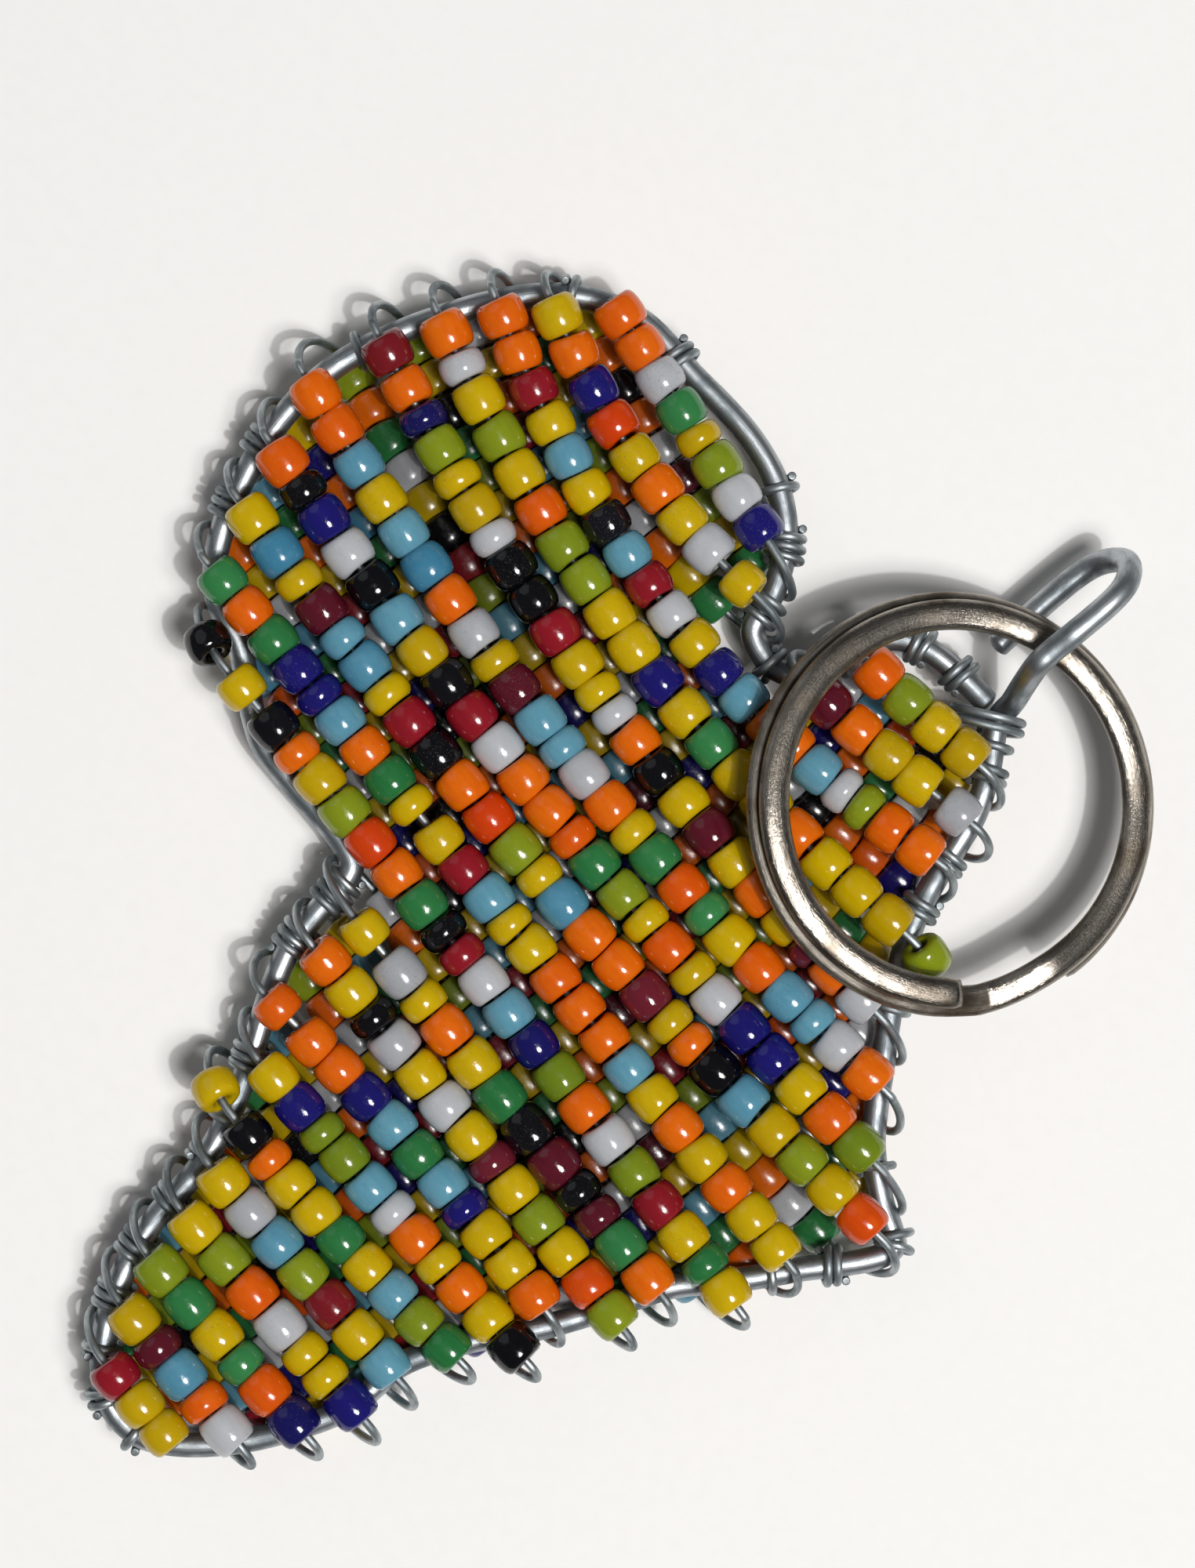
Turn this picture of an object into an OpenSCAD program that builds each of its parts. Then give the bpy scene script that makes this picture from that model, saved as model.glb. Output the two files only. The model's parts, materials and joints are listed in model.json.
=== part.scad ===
// Bead-and-wire key ring in the shape of the map of Africa.
// A bent wire outline is filled on both faces with rows of glass seed beads,
// strung on one thin wire that is turned round the outline at every row end.
// The outline wire is turned up at the top into an eye that holds a split ring.
// Units are millimetres.  The piece lies on its back: +Y is north, +Z is up.

/* [Outline wire] */
// Diameter of the thick outline wire
wire_d = 1.5; // [1:0.1:2.4]
// Smoothing steps between two bends of the outline
outline_steps = 2; // [2:1:6]
// Flats round the outline wire
outline_flats = 12; // [8:2:20]

/* [Seed beads] */
// Outside diameter of a bead
bead_d = 2.84; // [2:0.02:3.4]
// Diameter of the hole through a bead
hole_d = 0.96; // [0.7:0.02:1.4]
// Free length left between two beads in a row
bead_gap = 0.07; // [0.04:0.01:0.3]
// Length of a short bead compared with a full one
short_bead = 0.72; // [0.5:0.01:0.95]
// Length of a stretch of bare wire compared with a full bead
bare_wire = 0.3; // [0.1:0.01:0.8]
// How round the ends of a bead are
bead_rounding = 0.915; // [0.85:0.005:0.99]

/* [Rows of beads] */
// Height of a row above the outline's middle, half way along
row_middle = 1.5; // [1.46:0.01:2.2]
// Height of a row above the outline's middle where it crosses the outline
row_end = 2.5; // [2.2:0.01:3.2]

/* [Thin wire] */
// Diameter of the thin beading wire
thin_d = 0.52; // [0.3:0.01:0.7]
// How far an end turn stands out beyond its row
turn_reach = 1.9; // [1.4:0.05:2.8]
// Flats round the thin wire
thin_flats = 6; // [6:1:10]

/* [Hanging eye] */
// Distance between the two legs of the eye
eye_gap = 5.4; // [4:0.1:6]
// Roll of the eye about its length, east leg up
eye_roll = 65; // [40:1:75]
// Height of the eye's middle above the outline's middle
eye_rise = 2.2; // [0:0.1:4]

/* [Split ring] */
// Outside diameter of the split ring
ring_d = 25; // [20:0.5:32]
// Width of the ring's strip
ring_band = 1.8; // [1.2:0.1:2.6]
// How much further out the lower coil lies than the upper one
coil_offset = 0.5; // [0:0.05:0.8]
// Thickness of one coil of the ring
ring_coil = 0.95; // [0.7:0.05:1.4]
// Free space between the two coils
coil_gap = 0.06; // [0.03:0.01:0.2]

/* [Colours] */
// Orange glass
orange_glass = "#f07317";
// Yellow glass
yellow_glass = "#e3bb0c";
// Sky blue glass
sky_glass = "#63aecb";
// Navy blue glass
navy_glass = "#28218f";
// Green glass
green_glass = "#2f8a45";
// Lime glass
lime_glass = "#8ca823";
// White glass
white_glass = "#d6d6da";
// Black glass
black_glass = "#141418";
// Red glass
red_glass = "#b8242e";
// Maroon glass
maroon_glass = "#6d1d2b";
// Galvanised wire
zinc_grey = "#9a9fa3";
// Thin wire
thin_grey = "#7d8486";
// Nickelled steel
nickel_grey = "#8f8a84";

/* [Hidden] */

// Height of the outline's middle above the table
mid_z = row_end + bead_d / 2 - 0.02;
// Middle of the piece's footprint, in the same measure as the bends and rows below
centre = [-4.2, -2.54, 0];
wire_r = wire_d / 2;
thin_r = thin_d / 2;

// The outline: bends of the thick wire seen from the front, east and north,
// from the blunt end on top of the north-east lobe, west about, and back up.
outline_bends = [
  [5.9, 25.5], [2.2, 25.1], [-0.4, 23.9], [-1.7, 21.5], [-1.9, 19], [-3.6, 17.2],
  [-6.3, 17.5], [-7.3, 19.9], [-9.2, 22.5], [-12.2, 24.3], [-16, 24.9], [-20.4, 24.6],
  [-24.6, 24.4], [-28.2, 22.5], [-30.6, 19.6], [-32.4, 16], [-33.8, 12], [-34.5, 8],
  [-34.1, 4], [-32.8, 0], [-30.8, -3.6], [-28.4, -5.7], [-25.4, -6.5], [-22.8, -7.9],
  [-19.6, -9.3], [-14, -9.3], [-11, -9.8], [-10.3, -12.4], [-9.7, -15.6], [-8, -18.9], [-5.9, -22.1],
  [-4.2, -25.2], [-3, -28.6], [-2.4, -32.4], [-1, -36.2], [1.4, -39.6], [4.2, -41.5],
  [7.3, -41.2], [10.2, -38.3], [12.3, -34.6], [13.7, -30.6], [13.7, -26.8],
  [15.2, -22.8], [17.4, -18.9], [19.1, -15], [20.5, -11.4], [22.8, -8], [24.8, -4.6],
  [26.7, -1.6], [27.2, 0.4], [25, 1.4], [21.7, 3.4], [18.6, 6.7], [15.6, 10.1],
  [13.1, 13.8], [11.7, 17.3], [10.6, 20.6], [8.9, 23.2], [7.2, 25.2]
];

// A row: west end x, y, east end x, y, how far it hangs south, and its beads
// from west to east.  O orange, Y yellow, S sky, N navy, G green, L lime,
// W white, K black, R red, M maroon; a small letter is a short bead,
// _ is bare wire and * is the place of a loose bead.
front_north_east = [
  [-0.8, 21.4, 8.4, 22.6, 0.1, "OLYY"],
  [-1.4, 17.9, 10.7, 20, 0.1, "MOYY_*"]
];
back_north_east = [
  [-1.2, 19.7, 9.5, 21.2, 0.1, "WSOKY"],
  [-1.8, 16.3, 11, 18.3, 0.1, "YNOGWO"]
];
front_rows = [
  [-26.8, 23.6, -9.7, 21.5, 0.1, "OOWGyLWN"],
  [-29.2, 20.9, -7.8, 18.9, 1.2, "YONOYOYW_*"],
  [-31.2, 18.4, 11.1, 17, 3.3, "OORYSYKSRWYNSoOSwlOO"],
  [-32.7, 15.2, 13.1, 12.8, 2.6, "OwYLYOLLYYNYGYYOYYY"],
  [-34, 11.7, 15.6, 8.5, 2, "ROnLyYwKKRYywOKYMYOYmOW"],
  [-34.9, 6.8, 19.3, 5.9, 2, "OOSYSSOWyMSsWOyGOgYOSsWO"],
  [-33.1, 2.7, 22.3, 2.7, 1.3, "OkNWKSYKRWOOoGLyOyWNNYOL"],
  [-31.7, -0.9, 25.7, 0.1, 1.2, "YSyMsSyRKOOLySOOMyoKSYLYO"],
  [-29.9, -4.7, 23.6, -5, -0.1, "GOGNnSOGy_YRSyYOOOSYOYOYY"],
  [-24.3, -7.9, 23.8, -9, -0.3, "*_KoYLOOGkrWSNLOWLRYgY"],
  [-8.6, -11.54, 20.3, -11.98, 0, "*_WyOYGKMkmGO"],
  [-8.8, -14.5, 20.5, -15, -0.1, "OYkWYWYmYLYOL"],
  [-8.4, -18.5, 16.6, -17.8, -0.4, "*_OONSGSnYYO"],
  [-5.5, -21.3, 18.2, -20.6, 0.1, "YNlLSwOyOYK"],
  [-3.8, -24.6, 15.6, -23.6, 0.3, "KoYYGYSLG"],
  [-2.7, -27.5, 14.1, -27.1, 0.1, "YWSLRYS"],
  [-1.8, -30.5, 14.7, -30.2, 0.1, "YLOWyyN"],
  [-1.1, -33.7, 13.3, -33.4, 0.1, "LGYgON"],
  [0.1, -36.8, 11.1, -36.8, 0, "YmSoW"],
  [2.1, -39.75, 8.7, -39.75, 0, "RYY"]
];
back_rows = [
  [-27.9, 22.1, -8.6, 20.2, 0.6, "YOKOWMLYG"],
  [-30.3, 19.6, -8.2, 17.2, 1.2, "OGYSLOWOYG"],
  [-32, 16.8, 11.8, 15, 3, "WYORSYLNOYGOSRYWKOON"],
  [-33.5, 13.4, 14.2, 10.6, 2.3, "LYKGLYOSWRYWGYNOYRSYGY"],
  [-34.6, 9.2, 17.4, 7.1, 1.9, "LOGWYKRLSYONYSMWOGYLOROW"],
  [-34, 4.8, 20.8, 4.2, 1.5, "YNOSGYWRLKOYSYGNWRYLYOYNO"],
  [-32.4, 0.8, 24.2, 1.3, 1.3, "SGOYRWYNKLOSYWMGYONSRYLWGY"],
  [-30.8, -2.9, 24.8, -2.5, 0.8, "OYWSGRYLOKNYSWOGMYRLSYOWG"],
  [-26.4, -6.3, 23.5, -7.1, 0, "YSOLGWYNOKYSRGYOLWMYSGO"],
  [-8.8, -9.9, 22, -10.5, 0, "WOYLSRYGKOWNYS"],
  [-9, -12.9, 20.2, -13.5, 0, "YSGROWYKLONYG"],
  [-8.7, -16.4, 18.5, -16.4, -0.1, "LOWYNRGSYOKW"],
  [-6.9, -19.8, 17.3, -19.3, 0, "SYWORNYLGYO"],
  [-5.4, -22.8, 16.5, -22.2, 0.2, "GYKSOLYRWN"],
  [-3.9, -26, 14.6, -25.4, 0.2, "OWYNGSYR"],
  [-3, -29, 14.3, -28.6, 0.1, "YRLKOWGS"],
  [-2.3, -32.1, 13.9, -31.8, 0.1, "SYOGWNY"],
  [-1.3, -35.3, 12.1, -35.1, 0, "OLKYSR"],
  [0.8, -38.3, 10, -38.3, 0, "GYOW"]
];

function unit(v) = v / norm(v);
function letter(c) = ord(c) > 96 ? chr(ord(c) - 32) : c;
function weight(c) = c == "_" ? bare_wire : c == "*" ? 0.9 : ord(c) > 96 ? short_bead : 1;
function total(s, i = 0) = i >= len(s) ? 0 : weight(s[i]) + total(s, i + 1);
function upto(s, i) = i <= 0 ? 0 : weight(s[i - 1]) + upto(s, i - 1);

// How far a row sinks between its ends; a short row stays nearly straight
function row_dip(row) = (row_end - row_middle) * min(1, pow(chord(row) / 30, 2));
// A point on a row: t runs from the west end to the east end, side is 1 front, -1 back
function on_row(row, side, t) = [
  row[0] + (row[2] - row[0]) * t - centre[0],
  row[1] + (row[3] - row[1]) * t - 4 * row[4] * t * (1 - t) - centre[1],
  mid_z + side * (row_end - row_dip(row) * (1 - pow(2 * t - 1, 2)))
];
function along_row(row, side, t) = unit(on_row(row, side, t + 0.01) - on_row(row, side, t - 0.01));
function chord(row) = norm([row[2] - row[0], row[3] - row[1]]);
function bead_at(row, i) = (upto(row[5], i) + weight(row[5][i]) / 2) / total(row[5]);
function bead_length(row, i) = weight(row[5][i]) * chord(row) / total(row[5]) - bead_gap;

// A turn of wire from point a, leaving along u, back to point b, coming from along v
function turn_at(a, u, b, v, reach, t) =
  pow(1 - t, 3) * a + 3 * t * pow(1 - t, 2) * (a + u * reach / 0.75)
  + 3 * t * t * (1 - t) * (b + v * reach / 0.75) + pow(t, 3) * b;
function level(v) = unit([v[0], v[1], 0]);

// Smooth curve through a list of bends
function between(a, b, c, d, t) = 0.5 * (2 * b + (c - a) * t
  + (2 * a - 5 * b + 4 * c - d) * t * t + (3 * b - a - 3 * c + d) * t * t * t);
function smooth(p, n) = concat(
  [for (i = [0:len(p) - 2]) for (k = [0:n - 1])
    between(p[max(i - 1, 0)], p[i], p[i + 1], p[min(i + 2, len(p) - 1)], k / n)],
  [p[len(p) - 1]]);

// Round wire swept along a path
module swept(path, r, flats) {
  n = len(path);
  t = [for (i = [0:n - 1]) unit(path[min(i + 1, n - 1)] - path[max(i - 1, 0)])];
  first = abs(t[0][2]) < 0.8 ? [0, 0, 1] : [1, 0, 0];
  u = [for (v = unit(first - (first * t[0]) * t[0]), i = 0; i < n;
    v = unit(v - (v * t[min(i + 1, n - 1)]) * t[min(i + 1, n - 1)]), i = i + 1) v];
  ring = [for (i = [0:n - 1]) for (k = [0:flats - 1])
    path[i] + r * (cos(360 * k / flats) * u[i] + sin(360 * k / flats) * cross(t[i], u[i]))];
  skin = [for (i = [0:n - 2]) for (k = [0:flats - 1]) let (m = (k + 1) % flats)
    each [[i * flats + k, (i + 1) * flats + k, (i + 1) * flats + m],
      [i * flats + k, (i + 1) * flats + m, i * flats + m]]];
  ends = [[for (k = [0:flats - 1]) k], [for (k = [flats - 1:-1:0]) (n - 1) * flats + k]];
  polyhedron(points = ring, faces = concat(skin, ends), convexity = 10);
}

// One seed bead, its hole along z
module bead(l) {
  difference() {
    intersection() {
      cylinder(h = l, d = bead_d, center = true, $fn = 48);
      sphere(r = bead_rounding * norm([l, bead_d]) / 2, $fn = 48);
    }
    cylinder(h = l + 1, d = hole_d, center = true, $fn = 24);
  }
}
module set_along(p, v) {
  translate(p)
    rotate([0, acos(v[2]), atan2(v[1], v[0])])
      children();
}
module bead_of_row(row, side, i) {
  set_along(on_row(row, side, bead_at(row, i)), along_row(row, side, bead_at(row, i)))
    bead(bead_length(row, i));
}
module beads(rows, side, c) {
  for (row = rows)
    for (i = [0:len(row[5]) - 1])
      if (row[5][i] != "_" && row[5][i] != "*" && letter(row[5][i]) == c)
        bead_of_row(row, side, i);
}

// The outline and the eye, one wire with two cut ends
eye_mid = [4.75, 31.2, mid_z + eye_rise] - centre;
function eye_at(across, along) = eye_mid + [across * cos(eye_roll), along, across * sin(eye_roll)];
eye_half = eye_gap / 2;
eye_bends = [
  [6.85, 26.6, mid_z + 0.9] - centre, eye_at(eye_half + 0.1, -2.4), eye_at(eye_half, 0),
  eye_at(eye_half, 3.2), eye_at(0.71 * eye_half, 4.95), eye_at(0, 5.8),
  eye_at(-0.71 * eye_half, 4.95), eye_at(-eye_half, 3.2), eye_at(-eye_half, 0),
  eye_at(-0.9 * eye_half, -3)
];
outline_path = smooth(concat([for (p = outline_bends) [p[0], p[1], mid_z] - centre], eye_bends),
  outline_steps);
module outline_wire() {
  color(zinc_grey)
    swept(outline_path, wire_r, outline_flats);
}
function outline_at(u) = let (i = floor(u), p = outline_bends, m = len(outline_bends) - 1)
  let (q = between(p[max(i - 1, 0)], p[i], p[min(i + 1, m)], p[min(i + 2, m)], u - i))
  [q[0], q[1], mid_z] - centre;
function outline_dir(u) = unit(outline_at(u + 0.02) - outline_at(u - 0.02));

// The beading wire: front row, east turn, back row, west turn, next front row
turn_steps = 7;
row_steps = 8;
function east_turn(f, b, reach) = [for (k = [1:turn_steps - 1])
  turn_at(on_row(f, 1, 1), level(along_row(f, 1, 0.98)),
    on_row(b, -1, 1), level(along_row(b, -1, 0.98)), reach, k / turn_steps)];
function west_turn(b, f, reach) = [for (k = [1:turn_steps - 1])
  turn_at(on_row(b, -1, 0), -level(along_row(b, -1, 0.02)),
    on_row(f, 1, 0), -level(along_row(f, 1, 0.02)), reach, k / turn_steps)];
// How much further than the others each turn stands out, row by row; the
// biggest ones carry a loose bead
east_extra = [0.75, 1.1, 0, 1.2, 0.5, 0, 0.65, 1.05, 0, 0, 0, 0, 0, 0, 0, 0, 0, 0, 0];
west_extra = [0, 0, 0, 0, 0, 0, 0, 0.1, 0, 1.3, 1.5, 0.45, 0, 0.2, 1.3, 0, 0, 0, 0, 0.1];
function reach_east(i) = turn_reach + east_extra[i];
function reach_west(i) = turn_reach + west_extra[i];
main_wire_path = [for (i = [0:len(front_rows) - 1])
  each concat(
    [for (k = [0:row_steps]) on_row(front_rows[i], 1, k / row_steps)],
    i < len(back_rows) ? concat(
      east_turn(front_rows[i], back_rows[i], reach_east(i)),
      [for (k = [row_steps:-1:0]) on_row(back_rows[i], -1, k / row_steps)],
      west_turn(back_rows[i], front_rows[i + 1], reach_west(i + 1))) : [])];
module beading_wire_main() {
  color(thin_grey)
    swept(main_wire_path, thin_r, thin_flats);
}
north_east_wire_path = [for (i = [0:1])
  each concat(
    [for (k = [0:4]) on_row(front_north_east[i], 1, k / 4)],
    east_turn(front_north_east[i], back_north_east[i], turn_reach + 0.2),
    [for (k = [4:-1:0]) on_row(back_north_east[i], -1, k / 4)],
    i == 0 ? west_turn(back_north_east[0], front_north_east[1], turn_reach + 0.5) : [])];
module beading_wire_north_east() {
  color(thin_grey)
    swept(north_east_wire_path, thin_r, thin_flats);
}

// Turns of thin wire wound close round the outline: place along it, turns
wrap_steps = 9;
function wound(u, turns) =
  let (pitch = thin_d + 0.05, speed = norm(outline_at(u + 0.05) - outline_at(u - 0.05)) / 0.1,
    n = round(turns * wrap_steps), r = wire_r + thin_r + 0.03)
  [for (k = [0:n]) let (w = u + (k / wrap_steps - turns / 2) * pitch / speed,
    t = outline_dir(w), side = unit(cross(t, [0, 0, 1])), a = 360 * k / wrap_steps + 200)
    outline_at(w) + r * (cos(a) * side + sin(a) * [0, 0, 1])];
module winding(list) {
  for (w = list)
    swept(wound(w[0], w[1]), thin_r, thin_flats);
}
module edge_wraps() {
  color(thin_grey)
    winding([[1.5, 2.2], [2.6, 1.6], [3.6, 2.4], [7.9, 3.4], [8.9, 1.4], [11.3, 2.4],
      [13.15, 1.5], [16.4, 1], [18.42, 3], [19.38, 2.8], [35.9, 2.4], [36.8, 1.4],
      [46.48, 1.2], [47.45, 2.4], [49.2, 2.2], [50.65, 1], [52.85, 2.4], [54.2, 2.4],
      [55.05, 1.8], [56.8, 2], [57.38, 1.2]]);
}
module south_west_winding() {
  color(thin_grey)
    winding([[26.68, 4], [27.9, 3.4], [29.88, 2.8], [31.02, 1.2], [31.72, 1.5], [32.6, 2],
      [33.45, 2.8], [34.25, 2.8], [35.05, 1.5]]);
}
module notch_coil() {
  color(thin_grey)
    winding([[5.25, 1.6], [6.6, 3.2]]);
}

// Thin wire tied over the joint of the outline's blunt end and the rising eye
tie_mid = [6.75, 24.8, mid_z + 0.15] - centre;
tie_along = unit([0.77, 0.64, 0]);
tie_step = unit([-0.64, 0.77, 0]);
module eye_binding() {
  color(thin_grey) {
    swept([for (k = [0:24]) let (a = 30 * k - 100)
      tie_mid + 2.1 * cos(a) * tie_along + [0, 0, 1.7 * sin(a)]
      + (k / 12 - 1) * 0.6 * tie_step], thin_r, thin_flats);
    winding([[0.65, 2.2]]);
  }
}

// The split ring: one flat strip coiled twice, stepping up where it crosses over
ring_slope = [-0.12, -0.2];
ring_mid = [9.1, 19.9, mid_z + 3.86] - centre;
ring_up = unit([-ring_slope[0], -ring_slope[1], 1]);
ring_east = unit([1, 0, ring_slope[0]]);
ring_north = cross(ring_up, ring_east);
coil_start = 337;
function step_up(a) = a < 344 ? 0 : a > 376 ? 1 : 0.5 - 0.5 * cos(180 * (a - 344) / 32);
strip = [[-0.5, -0.2], [-0.42, -0.5], [0.3, -0.5], [0.47, -0.32], [0.5, 0], [0.47, 0.32],
  [0.3, 0.5], [-0.42, 0.5], [-0.5, 0.2]];
module split_ring() {
  m = len(strip);
  turn = concat([for (a = [17:7.8:344]) a], [for (a = [348:4:376]) a],
    [for (a = [383:8:703]) a]);
  n = len(turn);
  skin = [for (i = [0:n - 2]) for (k = [0:m - 1]) let (q = (k + 1) % m)
    each [[i * m + k, (i + 1) * m + q, (i + 1) * m + k], [i * m + k, i * m + q, (i + 1) * m + q]]];
  color(nickel_grey)
    multmatrix([
      [ring_east[0], ring_north[0], ring_up[0], ring_mid[0]],
      [ring_east[1], ring_north[1], ring_up[1], ring_mid[1]],
      [ring_east[2], ring_north[2], ring_up[2], ring_mid[2]],
      [0, 0, 0, 1]])
      polyhedron(points = [for (a = turn) for (p = strip)
        let (r = (ring_d - ring_band) / 2 - step_up(a) * coil_offset + p[0] * ring_band,
          z = (step_up(a) - 0.5) * (ring_coil + coil_gap) + p[1] * ring_coil)
        [r * cos(a + coil_start), r * sin(a + coil_start), z]],
        faces = concat(skin, [[for (k = [m - 1:-1:0]) k], [for (k = [0:m - 1]) (n - 1) * m + k]]),
        convexity = 10);
}

// Beads of one colour on one face
module front_beads(c) {
  beads(front_rows, 1, c);
  beads(front_north_east, 1, c);
}
module back_beads(c) {
  beads(back_rows, -1, c);
  beads(back_north_east, -1, c);
}
module front_orange_beads() { color(orange_glass) front_beads("O"); }
module front_yellow_beads() { color(yellow_glass) front_beads("Y"); }
module front_sky_beads() { color(sky_glass) front_beads("S"); }
module front_navy_beads() { color(navy_glass) front_beads("N"); }
module front_green_beads() { color(green_glass) front_beads("G"); }
module front_lime_beads() { color(lime_glass) front_beads("L"); }
module front_white_beads() { color(white_glass) front_beads("W"); }
module front_black_beads() { color(black_glass) front_beads("K"); }
module front_red_beads() { color(red_glass) front_beads("R"); }
module front_maroon_beads() { color(maroon_glass) front_beads("M"); }
module back_orange_beads() { color(orange_glass) back_beads("O"); }
module back_yellow_beads() { color(yellow_glass) back_beads("Y"); }
module back_sky_beads() { color(sky_glass) back_beads("S"); }
module back_navy_beads() { color(navy_glass) back_beads("N"); }
module back_green_beads() { color(green_glass) back_beads("G"); }
module back_lime_beads() { color(lime_glass) back_beads("L"); }
module back_white_beads() { color(white_glass) back_beads("W"); }
module back_black_beads() { color(black_glass) back_beads("K"); }
module back_red_beads() { color(red_glass) back_beads("R"); }
module back_maroon_beads() { color(maroon_glass) back_beads("M"); }

// Loose beads: three out on the end turns, five with play in their row
function turn_point(f, b, reach, t, end) = end == "east"
  ? turn_at(on_row(f, 1, 1), level(along_row(f, 1, 0.98)),
    on_row(b, -1, 1), level(along_row(b, -1, 0.98)), reach, t)
  : turn_at(on_row(b, -1, 0), -level(along_row(b, -1, 0.02)),
    on_row(f, 1, 0), -level(along_row(f, 1, 0.02)), reach, t);
module bead_on_turn(f, b, reach, t, end) {
  set_along(turn_point(f, b, reach, t, end),
    unit(turn_point(f, b, reach, t + 0.01, end) - turn_point(f, b, reach, t - 0.01, end)))
    bead(2);
}
module loose_lime_bead_east() {
  color(lime_glass)
    bead_on_turn(front_rows[3], back_rows[3], reach_east(3), 0.19, "east");
}
module loose_black_bead_west() {
  color(black_glass)
    bead_on_turn(front_rows[9], back_rows[8], reach_west(9), 0.8, "west");
}
module loose_yellow_bead_coast() {
  color(yellow_glass)
    bead_on_turn(front_rows[14], back_rows[13], reach_west(14), 0.8, "west");
}
module loose_yellow_bead_north() {
  color(yellow_glass)
    bead_of_row(front_rows[1], 1, 9);
}
module loose_yellow_bead_west() {
  color(yellow_glass)
    bead_of_row(front_rows[9], 1, 0);
}
module loose_yellow_bead_gulf() {
  color(yellow_glass)
    bead_of_row(front_rows[10], 1, 0);
}
module loose_orange_bead_waist() {
  color(orange_glass)
    bead_of_row(front_rows[12], 1, 0);
}
module loose_white_bead_north_east() {
  color(white_glass)
    bead_of_row(front_north_east[1], 1, 5);
}

outline_wire();
beading_wire_main();
beading_wire_north_east();
edge_wraps();
south_west_winding();
notch_coil();
eye_binding();
split_ring();
front_orange_beads();
front_yellow_beads();
front_sky_beads();
front_navy_beads();
front_green_beads();
front_lime_beads();
front_white_beads();
front_black_beads();
front_red_beads();
front_maroon_beads();
back_orange_beads();
back_yellow_beads();
back_sky_beads();
back_navy_beads();
back_green_beads();
back_lime_beads();
back_white_beads();
back_black_beads();
back_red_beads();
back_maroon_beads();
loose_lime_bead_east();
loose_black_bead_west();
loose_yellow_bead_coast();
loose_yellow_bead_north();
loose_yellow_bead_west();
loose_yellow_bead_gulf();
loose_orange_bead_waist();
loose_white_bead_north_east();
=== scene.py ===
"""Looks of a flat wire-and-bead key ring in the shape of the map of Africa.

Every bead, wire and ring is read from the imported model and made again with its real
finish: glossy opaque seed beads, drawn zinc-coated wire and a worn split ring.
"""

import json
import math
import random

import bmesh
import bpy
import numpy as np
from bpy.props import FloatProperty, FloatVectorProperty, IntProperty, PointerProperty
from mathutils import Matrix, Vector


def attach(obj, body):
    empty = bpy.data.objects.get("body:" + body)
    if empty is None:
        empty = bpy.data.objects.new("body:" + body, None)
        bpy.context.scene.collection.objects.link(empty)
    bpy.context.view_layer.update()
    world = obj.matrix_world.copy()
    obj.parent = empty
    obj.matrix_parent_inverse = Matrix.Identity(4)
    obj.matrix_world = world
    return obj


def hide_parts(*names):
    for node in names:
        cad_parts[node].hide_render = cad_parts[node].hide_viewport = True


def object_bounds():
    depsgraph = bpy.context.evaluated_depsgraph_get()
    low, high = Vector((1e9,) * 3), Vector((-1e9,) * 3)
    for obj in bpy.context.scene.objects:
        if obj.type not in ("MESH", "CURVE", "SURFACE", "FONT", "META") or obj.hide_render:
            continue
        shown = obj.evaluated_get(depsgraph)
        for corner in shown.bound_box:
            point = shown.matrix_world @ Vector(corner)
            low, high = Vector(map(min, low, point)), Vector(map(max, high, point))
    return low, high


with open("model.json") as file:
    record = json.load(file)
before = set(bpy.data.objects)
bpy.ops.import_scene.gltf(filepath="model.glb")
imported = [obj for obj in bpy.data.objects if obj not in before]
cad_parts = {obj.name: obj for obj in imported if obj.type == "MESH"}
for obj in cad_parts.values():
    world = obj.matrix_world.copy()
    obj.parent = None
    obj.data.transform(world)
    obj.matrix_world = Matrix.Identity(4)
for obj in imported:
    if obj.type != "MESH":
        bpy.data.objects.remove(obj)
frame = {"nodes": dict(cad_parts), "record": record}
CAD_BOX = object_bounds()

bl_info = {
    "name": "Beaded map key ring",
    "version": (1, 0, 0),
    "blender": (4, 5, 0),
    "location": "3D View > Sidebar > Key ring",
    "description": "Makes the glass beads, wires, split ring and stage of a beaded key ring",
    "category": "Object",
}

MM = 0.001
COLOURS = ("orange", "yellow", "sky", "navy", "green", "lime", "white", "black", "red", "maroon")
DARK_GLASS = ("black", "navy", "maroon")

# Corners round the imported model's wires and round its split ring's strip
OUTLINE_CORNERS = 12
THIN_CORNERS = 6
STRIP_CORNERS = 9

# Two points nearer than this are one
SAME_POINT = 0.001 * MM

# Ends of a wire, in radii: how far past the last point, and how thick there, from the tip inwards
ROUND_END = ((0.34, 0.4), (0.22, 0.75), (0.09, 0.93))
CUT_END = ((0.12, 0.6), (0.08, 0.85))

# The strip of the split ring narrows to this share of its size over this length at each end
STRIP_END = 0.5 * MM
STRIP_END_SIZE = 0.86

# Power of a random number that says how odd a bead's shade is: the higher, the fewer odd ones
RARENESS = 5

# Glass, and the dust that shows on dark and on pale beads
GLASS_IOR = 1.5
PALE_DUST = (0.1, 0.1, 0.11)
DARK_DUST = (0.05, 0.045, 0.035)

# How the patterns are stretched: along a bead's hole, and along a wire or the ring's strip
ALONG_A_BEAD = (1.0, 1.0, 0.25)
ALONG_A_WIRE = (0.3, 5.0, 5.0)
ALONG_THE_STRIP = (0.12, 6.0, 6.0)
ACROSS_THE_STRIP = (0.5, 9.0, 9.0)

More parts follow.
